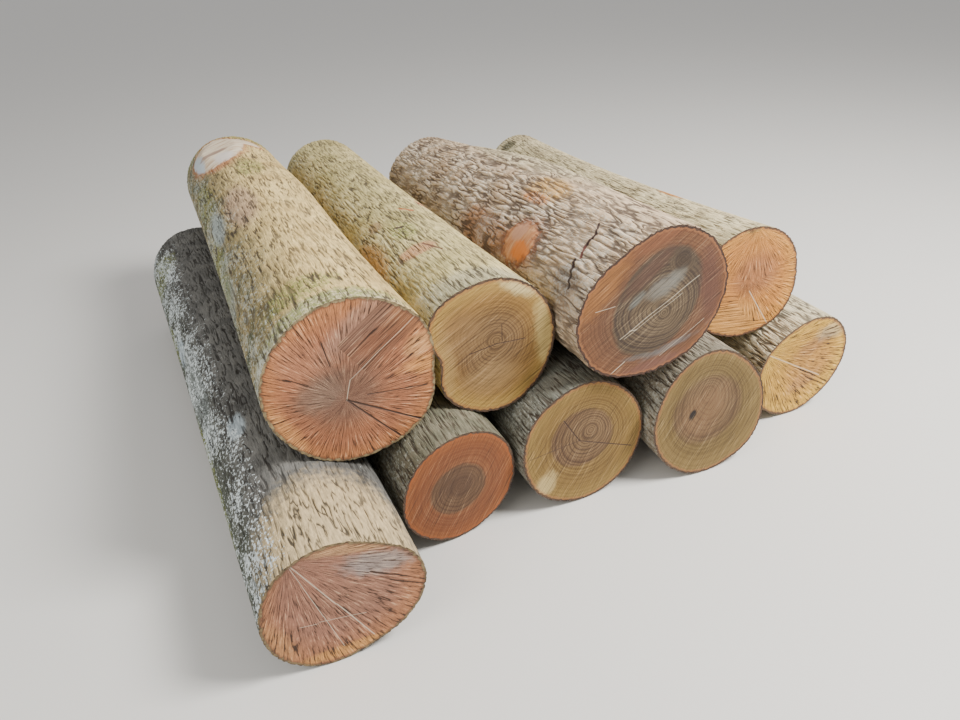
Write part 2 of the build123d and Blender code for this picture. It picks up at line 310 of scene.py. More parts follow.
def strokeOn(tree, flat, x1, y1, x2, y2, width):
    # 1 on a straight line, falling to 0 over its width
    run = np.array([x2 - x1, y2 - y1, 0.0])
    from1 = addNode(tree, "VectorMath", {0: flat, 1: (x1, y1, 0)}, "SUBTRACT")
    share = addNode(tree, "VectorMath", {0: from1, 1: list(run / (run @ run))}, "DOT_PRODUCT")
    share = addNode(tree, "Math", {0: share, 1: 1.0}, "MULTIPLY", use_clamp=True)
    nearest = addNode(tree, "VectorMath", {0: list(run), 3: share}, "SCALE")
    off = addNode(tree, "VectorMath", {0: from1, 1: nearest}, "DISTANCE")
    return addNode(tree, "MapRange", {0: off, 1: width * 0.4, 2: width, 3: 1.0, 4: 0.0})


def barkPattern(tree, place, look):
    # fissures that wander along the stem, with ridges between them: 1 on a ridge, 0 down in a fissure
    parts = addNode(tree, "SeparateXYZ", {0: place})
    onRound = addNode(tree, "VectorMath", {0: outward(tree, place), 3: stem["radius"]}, "SCALE")
    squeezed = addNode(tree, "Math", {0: parts.outputs[2], 1: look["gap"] / look["run"], 2: look["seed"]},
                       "MULTIPLY_ADD")
    lengthwise = addNode(tree, "CombineXYZ", {2: squeezed})
    onBark = addNode(tree, "VectorMath", {0: onRound, 1: lengthwise}, "ADD")
    drift = addNode(tree, "TexNoise", {"Vector": onBark, "Scale": 0.5 / look["gap"], "Detail": 3.0})
    centred = addNode(tree, "VectorMath", {0: drift.outputs[1], 1: (0.5, 0.5, 0.5)}, "SUBTRACT")
    push = addNode(tree, "VectorMath", {0: centred, 3: 2 * look["wander"]}, "SCALE")
    warped = addNode(tree, "VectorMath", {0: onBark, 1: push}, "ADD")
    level = None
    # two nets of fissures, one of them finer
    for share, shift in ((0.55, 0.0), (0.75, 3.1)):
        moved = addNode(tree, "VectorMath", {0: warped, 1: (shift, 0, shift)}, "ADD")
        waves = addNode(tree, "TexNoise", {"Vector": moved, "Scale": share / look["gap"], "Detail": 1.0})
        away = addNode(tree, "Math", {0: waves, 1: 0.5}, "SUBTRACT")
        away = addNode(tree, "Math", {0: away}, "ABSOLUTE")
        rise = addNode(tree, "MapRange", {0: away, 1: 0.0, 2: 1.4 * share * look["width"] / look["gap"]},
                       interpolation_type="SMOOTHSTEP")
        level = rise if level is None else addNode(tree, "Math", {0: level, 1: rise}, "MINIMUM")
    # there is no fissure where the bark has closed over it
    closed = 0.3 * look["broken"]
    healed = patches(tree, onBark, 1.1 / look["gap"], 1.0, 0.62 - closed, 0.70 - closed)
    level = addNode(tree, "Math", {0: level, 1: healed}, "MAXIMUM")
    # short pits between the fissures, and a knobbly top on the ridges
    apart = addNode(tree, "VectorMath", {0: warped, 1: (5.3, 0, 0)}, "ADD")
    pits = patches(tree, apart, 1.7 / look["gap"], 2.0, 0.62, 0.70, 1.0, 1 - look["dashes"], roughness=0.6)
    level = times(tree, level, pits)
    level = times(tree, level, patches(tree, warped, 0.9 / look["gap"], 3.0, 0.3, 0.7, 0.6, 1.0))
    unrolled = unroll(tree, place)
    for *spot, ragged in look["bare"]:
        mask = barkSpot(tree, unrolled, *spot, ragged=ragged, soft=0.2)
        level = addNode(tree, "Mix", {0: mask, 2: level, 3: 0.95})
    for along, turn, along2, turn2, width, _ in look["gashes"]:
        mask = strokeOn(tree, unrolled, *onUnrolled(along, turn), *onUnrolled(along2, turn2), width)
        level = addNode(tree, "Mix", {0: mask, 2: level, 3: 0.0})
    return level, warped, unrolled


def growBark(piece, log, look):
    # the fissures are cut in towards the axis, so the ridges' tops stay where the solid is
    tree = bpy.data.node_groups.new("barkRelief", "GeometryNodeTree")
    tree.interface.new_socket("Geometry", in_out="INPUT", socket_type="NodeSocketGeometry")
    tree.interface.new_socket("Geometry", in_out="OUTPUT", socket_type="NodeSocketGeometry")
    source = addNode(tree, "NodeGroupInput")
    place = addNode(tree, "GeometryNodeInputNamedAttribute", {0: "logCoord"}, data_type="FLOAT_VECTOR")
    level, _, unrolled = barkPattern(tree, place, look)
    for along, turn, reach in look["sawn"]:
        # no bark on a sawn stub, from 4 to 2 mm under its cut
        lift = addNode(tree, "VectorMath", {0: place, 1: wayOf(turn)}, "DOT_PRODUCT")
        top = log["stubs"][turn]
        flatCut = addNode(tree, "MapRange", {0: lift, 1: top - 0.004, 2: top - 0.002})
        nearby = barkSpot(tree, unrolled, along, turn, reach, reach, ragged=0.0)
        level = addNode(tree, "Math", {0: level, 1: times(tree, flatCut, nearby)}, "MAXIMUM")
    parts = addNode(tree, "SeparateXYZ", {0: place})
    # the way out from the axis, in the scene's own frame
    acrossX = addNode(tree, "VectorMath", {0: list(log["right"]), 3: parts.outputs[0]}, "SCALE")
    acrossY = addNode(tree, "VectorMath", {0: list(log["up"]), 3: parts.outputs[1]}, "SCALE")
    outwards = addNode(tree, "VectorMath", {0: acrossX, 1: acrossY}, "ADD")
    outwards = addNode(tree, "VectorMath", {0: outwards}, "NORMALIZE")
    sink = addNode(tree, "Math", {0: level, 1: look["depth"], 2: -look["depth"]}, "MULTIPLY_ADD")
    move = addNode(tree, "VectorMath", {0: outwards, 3: sink}, "SCALE")
    moved = addNode(tree, "GeometryNodeSetPosition", {"Geometry": source, "Offset": move})
    addNode(tree, "NodeGroupOutput", {0: moved})
    applyModifier(piece, "NODES", node_group=tree)


def sawBlock(log, end):
    # a block whose inner face is the saw cut: slightly wavy, and stepped where two cuts met
    facing = Vector(end["normal"])
    bpy.ops.mesh.primitive_grid_add(x_subdivisions=stem["capSquares"], y_subdivisions=stem["capSquares"],
                                    size=stem["sawReach"], location=end["centre"],
                                    rotation=turnTo(log, facing).to_euler())
    block = bpy.context.object
    bpy.ops.object.transform_apply()
    points = meshArrays(block.data)[0]
    offset = points - end["centre"]
    across, upward = offset @ log["right"], offset @ log["up"]
    broad = np.sin(across * 31 + 4 * np.sin(upward * 9))   # about 200 mm from crest to crest
    fine = 0.6 * np.sin(upward * 47 + across * 15)         # about 130 mm
    height = stem["sawWave"] * (broad + fine) / 1.6        # the most that the two add up to
    height -= stem["sawWave"]                              # so nothing stands out past the solid
    if end["step"]:
        beyond = (points - end["step"]["place"]) @ end["step"]["facing"] > 0
        height += np.where(beyond, end["step"]["low"], end["step"]["high"])
    points += height[:, None] * end["normal"]
    block.data.vertices.foreach_set("co", points.ravel())
    editAll()
    bpy.ops.mesh.extrude_region_move(TRANSFORM_OT_translate={"value": facing * stem["sawDepth"]})
    bpy.ops.mesh.select_all(action="SELECT")
    bpy.ops.mesh.normals_make_consistent(inside=False)
    bpy.ops.object.mode_set(mode="OBJECT")
    return block


def makeTarget(node, log):
    # the solid, drawn out past its ends, for the bark to be laid on
    target = node.copy()
    target.data = node.data.copy()
    bpy.context.collection.objects.link(target)
    makeActive(target)
    editAll()
    bpy.ops.mesh.remove_doubles(threshold=0.00001)
    bpy.ops.object.mode_set(mode="OBJECT")
    beyond = stem["spare"] + 0.03   # longer than the tube, so that all of it is laid on
    for end in log["ends"].values():
        _, normals, centres, _ = meshArrays(target.data)
        isEnd = (normals @ end["normal"] > 0.97) & (abs((centres - end["centre"]) @ end["normal"]) < 0.02)
        editThese(target, "FACE", isEnd)
        move = Vector(log["along"]) * end["way"] * beyond
        bpy.ops.mesh.extrude_region_move(TRANSFORM_OT_translate={"value": move})
        bpy.ops.object.mode_set(mode="OBJECT")
    return target


def makeStem(name, node):
    log = readLog(node)
    log["name"] = name
    look = barkOf[name]
    place = inLogFrame(log, meshArrays(node.data)[0])
    log["stubs"] = {}   # how far each sawn stub stands out from the axis, by its turn
    for along, turn, reach in look["sawn"]:
        nearby = place[abs(place[:, 2] - along) < reach / 2]
        log["stubs"][turn] = (nearby @ wayOf(turn)).max()
    target = makeTarget(node, log)
    along = Vector(log["along"])
    middle = Vector(log["start"]) + along * log["length"] / 2
    bpy.ops.mesh.primitive_cylinder_add(vertices=stem["around"], radius=stem["tube"], end_fill_type="NOTHING",
                                        depth=log["length"] + 2 * stem["spare"],
                                        location=middle, rotation=turnTo(log, along).to_euler())
    piece = bpy.context.object
    piece.name = name + "_wood"
    piece.data.name = piece.name
    bpy.ops.object.transform_apply()
    for _ in range(2):
        points = meshArrays(piece.data)[0]
        pairs = np.empty(len(piece.data.edges) * 2, dtype=int)
        piece.data.edges.foreach_get("vertices", pairs)
        lines = points[pairs[1::2]] - points[pairs[::2]]
        lengthwise = abs(lines @ log["along"]) > 0.9 * np.linalg.norm(lines, axis=1)
        editThese(piece, "EDGE", lengthwise)
        bpy.ops.mesh.subdivide(number_cuts=stem["longCuts"])
        bpy.ops.object.mode_set(mode="OBJECT")
    applyModifier(piece, "SHRINKWRAP", target=target, wrap_method="PROJECT",
                  use_negative_direction=True, use_positive_direction=False)
    editAll()
    bpy.ops.mesh.vertices_smooth(factor=0.5, repeat=3)
    bpy.ops.mesh.fill_holes(sides=0)
    bpy.ops.mesh.normals_make_consistent(inside=False)
    bpy.ops.object.mode_set(mode="OBJECT")
    points = meshArrays(piece.data)[0]
    setAttribute(piece.data, "logCoord", "FLOAT_VECTOR", inLogFrame(log, points))
    growBark(piece, log, look)
    for end in log["ends"].values():
        block = sawBlock(log, end)
        applyModifier(piece, "BOOLEAN", operation="DIFFERENCE", solver="MANIFOLD", object=block)
        bpy.data.objects.remove(block)
    bpy.data.objects.remove(target)
    piece.data.materials.clear()
    piece.data.materials.append(barkMaterial("roughBark_" + name, look, log))
    piece.data.materials.append(grainMaterial("sawnEndGrain_" + name, sawnOf[name], log))
    finishEnds(piece, log)
    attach(piece, "root")
    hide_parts(name)
    print(piece.name, len(piece.data.vertices), "points", len(piece.data.polygons), "faces")


def finishEnds(piece, log):
    # the sawn faces take the second material, and each point there knows how deep it is under the bark
    mesh = piece.data
    points, normals, centres, _ = meshArrays(mesh)
    local = inLogFrame(log, points)
    setAttribute(mesh, "logCoord", "FLOAT_VECTOR", local)
    onEnd = np.zeros(len(centres), bool)
    depth = np.zeros(len(points))
    distance = np.hypot(local[:, 0], local[:, 1])
    turn = np.arctan2(local[:, 1], local[:, 0])
    loops = np.empty(len(mesh.loops), dtype=int)
    mesh.loops.foreach_get("vertex_index", loops)
    sides = np.empty(len(mesh.polygons), dtype=int)
    mesh.polygons.foreach_get("loop_total", sides)
    for end in log["ends"].values():
        # the saw plane, give or take its waves and its step
        here = (abs((centres - end["centre"]) @ end["normal"]) < 0.008) & (normals @ end["normal"] > 0.8)
        onEnd |= here
        owned = np.zeros(len(points), bool)
        owned[loops[np.repeat(here, sides)]] = True
        rim = np.zeros(len(points), bool)
        rim[loops[np.repeat(~here, sides)]] = True
        rim &= owned
        order = np.argsort(turn[rim])
        toBark = np.interp(turn, turn[rim][order], distance[rim][order], period=2 * np.pi)
        depth = np.where(owned, np.maximum(toBark - distance, 0), depth)
    setAttribute(mesh, "underBark", "FLOAT", depth)
    mesh.polygons.foreach_set("material_index", onEnd.astype(int))
    makeActive(piece)
    bpy.ops.object.shade_smooth_by_angle(angle=math.radians(stem["smoothTo"]))


def nearTurn(tree, place, turn, spread):
    # 1 where the bark faces this way round the stem, falling off over the spread
    facing = addNode(tree, "VectorMath", {0: outward(tree, place), 1: wayOf(turn)}, "DOT_PRODUCT")
    return addNode(tree, "MapRange", {0: facing, 1: math.cos(math.radians(spread)), 2: 1.0},
                   interpolation_type="SMOOTHSTEP")


def newMaterial(name):
    material = bpy.data.materials.new(name)
    material.use_nodes = True
    material.node_tree.nodes.clear()
    return material, material.node_tree


def barkMaterial(name, look, log):
    # hardwood bark as it grew and weathered: dry and matt, pale ridges, dark fissures, green film and lichen,
    # with painted shade in the fissures and on upper_log_1's green flank
    material, tree = newMaterial(name)
    place = addNode(tree, "Attribute", attribute_name="logCoord").outputs["Vector"]
    level, warped, unrolled = barkPattern(tree, place, look)
    broad = patches(tree, place, 9.0, 5.0, 0.35, 0.65, roughness=0.65)
    grit = patches(tree, warped, 230.0, 4.0, 0.3, 0.7, roughness=0.7)
    flakes = patches(tree, warped, 2.6 / look["gap"], 2.0, 0.35, 0.65, 0.82, 1.12)
    colour = layColour(tree, linearColour(look["flat"]), broad, look["ridge"])
    # a green film of algae on the side away from the sun; on upper_log_1 it is darkened further as painted
    # shade on that flank
    hexText, amount, turn, spread = look["algaeAndShade"]
    filmAndShade = patches(tree, place, 16.0, 6.0, 0.40, 0.60, 0.55 * amount, amount, roughness=0.7)
    colour = layColour(tree, colour, times(tree, filmAndShade, nearTurn(tree, place, turn, spread)), hexText)
    for *spot, hexText, strength in look["spots"]:
        mask = barkSpot(tree, unrolled, *spot, ragged=0.9, soft=0.6)
        colour = layColour(tree, colour, times(tree, mask, strength), hexText)
    tuft = patches(tree, place, 120.0, 3.0, 0.35, 0.58)
    for spot in look["moss"]:
        mask = barkSpot(tree, unrolled, *spot, ragged=1.3, soft=0.6)
        colour = layColour(tree, colour, times(tree, times(tree, mask, tuft), 0.8), look["mossGreen"])
    gritty = addNode(tree, "Math", {0: grit, 1: 0.45, 2: 0.72}, "MULTIPLY_ADD")
    colour = addNode(tree, "VectorMath", {0: colour, 3: times(tree, gritty, flakes)}, "SCALE")
    # lichen: crusty pale specks of 4 to 12 mm, thickest on one flank
    hexText, amount, turn, spread = look["lichen"]
    crust = addNode(tree, "TexNoise", {"Vector": place, "Scale": 105.0, "Detail": 3.0, "Roughness": 0.65})
    region = addNode(tree, "TexNoise", {"Vector": place, "Scale": 9.0, "Detail": 2.0})
    region = times(tree, region, nearTurn(tree, place, turn, spread))
    crust = addNode(tree, "Math", {0: region, 1: 0.42, 2: crust}, "MULTIPLY_ADD")
    crust = addNode(tree, "MapRange", {0: crust, 1: 0.72, 2: 0.76, 4: amount})
    colour = layColour(tree, colour, crust, hexText)
    # the fissures stay dark under all of it, partly their own darker bark and partly painted shade down in
    # them, but less so where the bark is worn
    groove = addNode(tree, "MapRange", {0: level, 1: 0.04, 2: 0.44, 3: 0.9, 4: 0.0})
    worn = patches(tree, place, 5.0, 3.0, 0.38, 0.56, 0.5, 1.0, roughness=0.6)
    colour = layColour(tree, colour, times(tree, groove, worn), look["fissure"])
    height = addNode(tree, "Math", {0: grit, 1: 0.22, 2: level}, "MULTIPLY_ADD")
    for along, turn, along2, turn2, width, hexText in look["gashes"]:
        mask = strokeOn(tree, unrolled, *onUnrolled(along, turn), *onUnrolled(along2, turn2), width * 1.2)
        colour = layColour(tree, colour, mask, hexText)
    if look["bare"] or look["sawn"]:
        colour, height = layBareWood(tree, place, unrolled, colour, height, look, log)
    bump = addNode(tree, "Bump", {"Height": height, "Distance": 0.006, "Strength": 0.7})
    addNode(tree, "OutputMaterial", {0: addNode(tree, "BsdfPrincipled", {
        "Base Color": colour, "Roughness": 0.92, "IOR": 1.45, "Normal": bump})})
    return material


# wood laid bare: its dark and light streaks, the torn bark round it, and
# stains (along, turn, halfLength, halfWidth, hex)
bareWood = {"dark": "#b0906f", "light": "#e2d3b8", "torn": "#ad7048", "stains": ()}
bareWoodOf = {
    "upper_log_1": dict(
        bareWood,
        # the first stain, pale blue-grey on the scar's left, is partly the wood's own pale tone and partly
        # painted shade
        stains=((1.71, 137, 0.13, 0.045, "#b7c3c8"), (1.7, 112, 0.022, 0.06, "#8e7361"),
            (1.6, 104, 0.06, 0.04, "#cfc4b8"))),
    "upper_log_2": dict(bareWood, light="#cfc49c", dark="#a3946c", torn="#a9895c"),
    "upper_log_3": dict(
        bareWood, dark="#a9653a", light="#c9976a", torn="#7a4a30",
        stains=((0.435, 158, 0.05, 0.028, "#cf7427"), (0.5, 143, 0.04, 0.035, "#b98a6c"))),
}


def layBareWood(tree, place, unrolled, colour, height, look, log):
    # split and sawn wood: smoother than the bark, streaked, with a torn orange edge where the bark stops
    tones = bareWoodOf[log["name"]]
    wood = torn = 0.0
    for along, turn, halfLength, halfWidth, ragged in look["bare"]:
        soft = 0.12 + 0.3 * (ragged > 1)
        inside = barkSpot(tree, unrolled, along, turn, halfLength, halfWidth, ragged=ragged, soft=soft)
        edge = barkSpot(tree, unrolled, along, turn, halfLength + 0.018, halfWidth + 0.012,
                        ragged=ragged + 0.3, soft=0.4)
        wood = addNode(tree, "Math", {0: wood, 1: inside}, "MAXIMUM")
        torn = addNode(tree, "Math", {0: torn, 1: edge}, "MAXIMUM")
    fray = 0.0035   # how uneven the edge of a sawn stub is
    for along, turn, reach in look["sawn"]:
        lift = addNode(tree, "VectorMath", {0: place, 1: wayOf(turn)}, "DOT_PRODUCT")
        fibre = addNode(tree, "TexNoise", {"Vector": place, "Scale": 90.0, "Detail": 4.0})
        lift = addNode(tree, "Math", {0: fibre, 1: fray, 2: lift}, "MULTIPLY_ADD")
        nearby = barkSpot(tree, unrolled, along, turn, reach, reach, ragged=0.0)
        top = log["stubs"][turn] + fray / 2
        edge = addNode(tree, "MapRange", {0: lift, 1: top - 0.0085, 2: top - 0.004})
        inside = addNode(tree, "MapRange", {0: lift, 1: top - 0.0034, 2: top - 0.0022})
        wood = addNode(tree, "Math", {0: wood, 1: times(tree, inside, nearby)}, "MAXIMUM")
        torn = addNode(tree, "Math", {0: torn, 1: times(tree, edge, nearby)}, "MAXIMUM")
    colour = layColour(tree, colour, torn, tones["torn"])
    # streaks about 80 mm long and 14 mm wide, askew
    stretched = addNode(tree, "Mapping", {"Vector": unrolled, "Rotation": (0, 0, 0.5), "Scale": (12, 70, 1)})
    streaks = patches(tree, stretched, 1.0, 5.0, 0.33, 0.62, roughness=0.6)
    surface = layColour(tree, linearColour(tones["dark"]), streaks, tones["light"])
    for *spot, hexText in tones["stains"]:
        mask = barkSpot(tree, unrolled, *spot, ragged=0.9)
        surface = layColour(tree, surface, times(tree, mask, 0.85), hexText)
    colour = addNode(tree, "Mix", {0: wood, 6: colour, 7: surface}, data_type="RGBA")
    smoother = addNode(tree, "Math", {0: streaks, 1: 0.25, 2: 0.75}, "MULTIPLY_ADD")
    return colour, addNode(tree, "Mix", {0: wood, 2: height, 3: smoother})


# End grain, read off each sawn face: x to the right and y up from its middle.
# pith: the rings' middle. ring: from one to the next. rings: how strong they are. knot: (x, y, radius).
# heart: where the heartwood is, (x, y, halfX, halfY, turn, soft).
# straight: (turn, force), the tooth marks lie side by side. fan: (x, y, force, middleX, middleY, reach), they
# spread from x, y over the part of the face round the middle. band: (x, y, turn, halfLength, halfWidth), side
# by side again. cracks and scratches: (x, y, x, y, width). stains: (x, y, halfX, halfY, turn, hex, strength).
sawn = {
    "pith": (0.0, 0.0), "ring": 0.010, "rings": 0.5, "heart": (0.0, 0.0, 0.10, 0.10, 0, 0.25),
    "heartwood": "#8a6a42", "wood": "#b59562", "sap": "#c4a873", "cambium": "#9a6238",
    "heartEdge": "#4b3422", "ringDark": "#2c1b10", "ringPale": "#e0bd85", "bandToneAndShadow": "#5a3b2a",
    "torn": "#38200f", "raised": "#e2c79c", "crack": "#3f2a1e", "scratch": "#ddceb4",
    "rim": "#2a1c12", "rimFleck": "#5c4430", "rimWidth": 0.007, "straight": (50, 0.6), "fan": (),
    "band": None, "knot": None, "cracks": (), "scratches": (), "stains": (),
}
sawnOf = {
    "upper_log_1": dict(
        sawn, pith=(-0.026, -0.044), rings=0.06, heart=(-0.03, -0.02, 0.1, 0.09, 20, 0.9),
        heartwood="#7c5642", wood="#9c6241", sap="#a86b3f", fan=((-0.026, -0.044, 1.1, 0, 0, 0.6),),
        # the band's darker tone is partly its own and partly painted shadow
        straight=(34, 0.25), band=(0.095, 0.122, 34, 0.105, 0.058),
        cracks=((-0.026, -0.044, 0.16, -0.165, 0.0035), (-0.026, -0.044, 0.097, -0.199, 0.003),
            (0.03, -0.045, 0.194, -0.066, 0.0018), (-0.06, 0.13, -0.05, 0.06, 0.0018)),
        scratches=((-0.026, -0.044, -0.008, 0.011, 0.0014), (0.187, 0.142, -0.008, 0.011, 0.0009)),
        stains=((-0.089, -0.006, 0.07, 0.045, 20, "#77604f", 0.6),
            (0.215, 0.0, 0.025, 0.08, 90, "#c98a48", 0.75), (0.195, 0.06, 0.03, 0.05, 110, "#c4905a", 0.7),
            (-0.2, -0.09, 0.03, 0.1, 25, "#c0854c", 0.7), (0.05, 0.16, 0.14, 0.04, 34, "#8f7565", 0.5),
            (0.235, -0.02, 0.014, 0.018, 0, "#3a2a20", 0.9), (-0.12, 0.1, 0.06, 0.06, 0, "#ab7454", 0.5)),
        cambium="#4c3020", rim="#4a3a26", rimFleck="#8f7d58", rimWidth=0.006),
    # upper_log_2: its wood, sap and heartwood are darker partly as painted shade over the whole face
    "upper_log_2": dict(
        sawn, pith=(0.009, 0.012), heart=(-0.012, -0.002, 0.115, 0.1, 30, 0.8), heartwood="#5f411e",
        wood="#89642c", sap="#a5833d", straight=(28, 0.5),
        cracks=((-0.075, -0.009, 0.01, 0.003, 0.0018), (0.01, 0.003, 0.096, -0.002, 0.0016),
            (0.029, 0.056, 0.025, 0.008, 0.0016)),
        stains=((0.165, 0.0, 0.035, 0.12, 0, "#c9b070", 0.7), (0.1, 0.155, 0.06, 0.025, -25, "#d6c088", 0.8),
            (-0.09, 0.05, 0.06, 0.07, 30, "#8d6c42", 0.5), (-0.02, -0.1, 0.09, 0.05, 0, "#98784a", 0.5),
            (-0.15, -0.03, 0.03, 0.1, 0, "#a58552", 0.5))),
    # upper_log_3: its wood, sap and heartwood are darker partly as painted shade over the whole face
    "upper_log_3": dict(
        sawn, pith=(0.03, -0.03), ring=0.009, rings=0.55, heart=(0.01, 0.008, 0.172, 0.128, 52, 0.1),
        heartwood="#3e3126", wood="#5e3a24", sap="#693f22", straight=(33, 0.5), knot=(0.087, 0.118, 0.042),
        scratches=((-0.114, -0.078, 0.145, 0.06, 0.0012), (-0.1, -0.08, 0.09, 0.018, 0.0008),
            (-0.156, -0.19, -0.097, -0.154, 0.0014), (-0.19, 0.024, -0.128, 0.027, 0.001),
            (-0.084, -0.059, -0.06, -0.06, 0.0014), (0.02, -0.165, 0.17, -0.08, 0.0008)),
        stains=((0.027, 0.052, 0.058, 0.026, 22, "#7b786e", 0.6),
            (0.075, 0.075, 0.03, 0.018, 45, "#6f6c62", 0.55), (-0.06, 0.03, 0.03, 0.012, 40, "#757a74", 0.5),
            (0.087, 0.118, 0.02, 0.028, -30, "#33261a", 0.6), (-0.02, 0.105, 0.1, 0.022, 36, "#54382a", 0.7),
            (0.05, -0.142, 0.085, 0.01, 14, "#6f706e", 0.5), (-0.05, -0.15, 0.06, 0.008, 0, "#6a6b68", 0.4),
            (-0.17, 0.1, 0.12, 0.05, 48, "#8f5c2c", 0.8), (0.03, 0.2, 0.12, 0.02, 20, "#7c4a2c", 0.6),
            (0.185, 0.02, 0.035, 0.12, 5, "#58362c", 0.6), (0.0, -0.2, 0.15, 0.03, 5, "#6c463c", 0.6)),
        rim="#24150e", rimFleck="#4a3020"),
    "upper_log_4": dict(
        sawn, pith=(0.01, 0.02), rings=0.05, heart=(0.03, 0.03, 0.085, 0.07, 20, 0.9), heartwood="#ac6f40",
        wood="#c68238", sap="#d08f3c",
        fan=((0.0, 0.034, 1.1, 0.1, -0.02, 0.13), (0.024, 0.19, 1.1, 0.02, 0.15, 0.14)), straight=(174, 0.7),
        rim="#5a3a26", rimWidth=0.006, scratches=((0.015, -0.027, 0.104, -0.17, 0.0024),),
        stains=((-0.05, -0.12, 0.12, 0.06, 0, "#d0984e", 0.6), (0.0, 0.19, 0.03, 0.012, 0, "#8f8a4f", 0.6),
            (0.0, 0.198, 0.01, 0.022, 0, "#33281a", 0.9))),
    "lower_log_1": dict(
        sawn, pith=(-0.1, 0.186), rings=0.0, heart=(0.03, 0.0, 0.1, 0.08, 0, 0.9), heartwood="#926650",
        wood="#966751", sap="#a36c47", fan=((-0.1, 0.186, 1.0, 0, 0, 0.6),), straight=(2, 0.4),
        cambium="#4c3020", rim="#3f2e1f", rimFleck="#85704c", rimWidth=0.006,
        scratches=((-0.1, 0.186, 0.058, -0.147, 0.002), (-0.11, -0.03, 0.05, -0.06, 0.0009),
            (-0.1, 0.186, -0.02, -0.15, 0.001)),
        stains=((0.1, 0.1, 0.08, 0.04, -15, "#96908a", 0.7), (0.0, -0.165, 0.16, 0.018, 0, "#c98f4a", 0.75),
            (-0.17, -0.06, 0.03, 0.08, 20, "#b98450", 0.6), (0.05, 0.17, 0.11, 0.016, -10, "#c39a6a", 0.6))),
    # lower_log_2 to lower_log_4: their wood, sap and heartwood are darker partly as painted shade over the
    # whole face
    "lower_log_2": dict(
        sawn, pith=(0.0, 0.006), ring=0.013, rings=0.35, heart=(-0.008, 0.0, 0.088, 0.092, 20, 0.15),
        heartwood="#50321d", wood="#79411d", sap="#884b1f", cambium="#a2521c", straight=(60, 0.5),
        stains=((-0.01, 0.02, 0.055, 0.06, 70, "#4e3524", 0.6),)),
    "lower_log_3": dict(
        sawn, pith=(0.022, 0.043), rings=0.6, heart=(-0.008, 0.022, 0.108, 0.1, -15, 0.14),
        heartwood="#55391f", wood="#775a24", sap="#866a30", straight=(55, 0.5),
        cracks=((-0.018, 0.016, -0.07, 0.106, 0.0024), (-0.018, 0.016, 0.171, -0.071, 0.0022),
            (-0.018, 0.016, -0.189, 0.007, 0.0012)),
        stains=((-0.14, -0.11, 0.03, 0.05, -30, "#c4ab72", 0.8),)),
    "lower_log_4": dict(
        sawn, pith=(-0.01, 0.08), ring=0.012, heart=(-0.01, 0.02, 0.125, 0.115, 0, 0.25),
        heartwood="#583f24", wood="#6a5428", sap="#7b6332", straight=(55, 0.5),
        stains=((-0.02, 0.02, 0.09, 0.07, 50, "#7c5b3a", 0.6),
            (-0.066, 0.016, 0.018, 0.012, 70, "#120c08", 1.0))),
    "lower_log_5": dict(
        sawn, pith=(0.02, 0.01), rings=0.05, heart=(0.03, 0.0, 0.1, 0.08, 20, 0.9), heartwood="#b8843a",
        wood="#c29236", sap="#cda03c", fan=((-0.19, 0.11, 1.1, -0.05, 0.0, 0.26),), straight=(15, 0.7),
        rim="#5c4630", scratches=((-0.174, 0.102, 0.093, -0.06, 0.0024),),
        stains=((0.03, 0.08, 0.075, 0.03, 15, "#a5743f", 0.75),
            (0.021, -0.064, 0.07, 0.03, 20, "#aa7a45", 0.7), (0.1, 0.12, 0.06, 0.03, 0, "#a9a18c", 0.5))),
}


teeth = {
    "perRadian": 24.0, "perMetre": 150,   # marks of single teeth, in a fan and side by side
    "fanRun": 19.0, "run": 7,             # how soon a mark changes along its length, per metre
    "grain": 1.8,                         # finer marks to each tooth's
    "sway": 3.0, "cut": 0.16,             # how many lines a mark strays, and how much it stands out
}


def toothMarks(tree, flat, fan=None, turn=0.0, seed=0.0):
    # fine ridges left by the saw's teeth, either fanning out from where the bar turned or side by side
    if fan:
        off = addNode(tree, "VectorMath", {0: flat, 1: (fan[0], fan[1], 0)}, "SUBTRACT")
        parts = addNode(tree, "SeparateXYZ", {0: off})
        angle = addNode(tree, "Math", {0: parts.outputs[1], 1: parts.outputs[0]}, "ARCTAN2")
        far = addNode(tree, "VectorMath", {0: off}, "LENGTH")
        across = times(tree, angle, teeth["perRadian"])
        onward = addNode(tree, "Math", {0: far, 1: teeth["fanRun"], 2: seed}, "MULTIPLY_ADD")
    else:
        cos, sin, _ = wayOf(turn)
        lines, run = teeth["perMetre"], teeth["run"]
        across = addNode(tree, "VectorMath", {0: flat, 1: (-sin * lines, cos * lines, 0)}, "DOT_PRODUCT")
        onward = addNode(tree, "VectorMath", {0: flat, 1: (cos * run, sin * run, 0)}, "DOT_PRODUCT")
        onward = addNode(tree, "Math", {0: onward, 1: seed}, "ADD")
    both = addNode(tree, "CombineXYZ", {0: times(tree, across, teeth["grain"]), 1: onward})
    rough = addNode(tree, "TexNoise", {
        "Vector": both, "Scale": 1.0, "Detail": 3.0, "Roughness": 0.7, "Distortion": 0.2})
    # single teeth: evenly spaced lines that sway and break off
    sway = addNode(tree, "TexNoise", {"Vector": both, "Scale": 0.25, "Detail": 1.0})
    count = addNode(tree, "Math", {0: sway, 1: teeth["sway"], 2: across}, "MULTIPLY_ADD")
    line = addNode(tree, "Math", {0: count, 1: 0.5}, "PINGPONG")
    line = addNode(tree, "MapRange", {0: line, 1: 0.04, 2: 0.17, 3: 1.0, 4: 0.0})
    line = times(tree, line, patches(tree, both, 0.5, 2.0, 0.42, 0.54))
    return addNode(tree, "Math", {0: line, 1: -teeth["cut"], 2: rough}, "MULTIPLY_ADD")


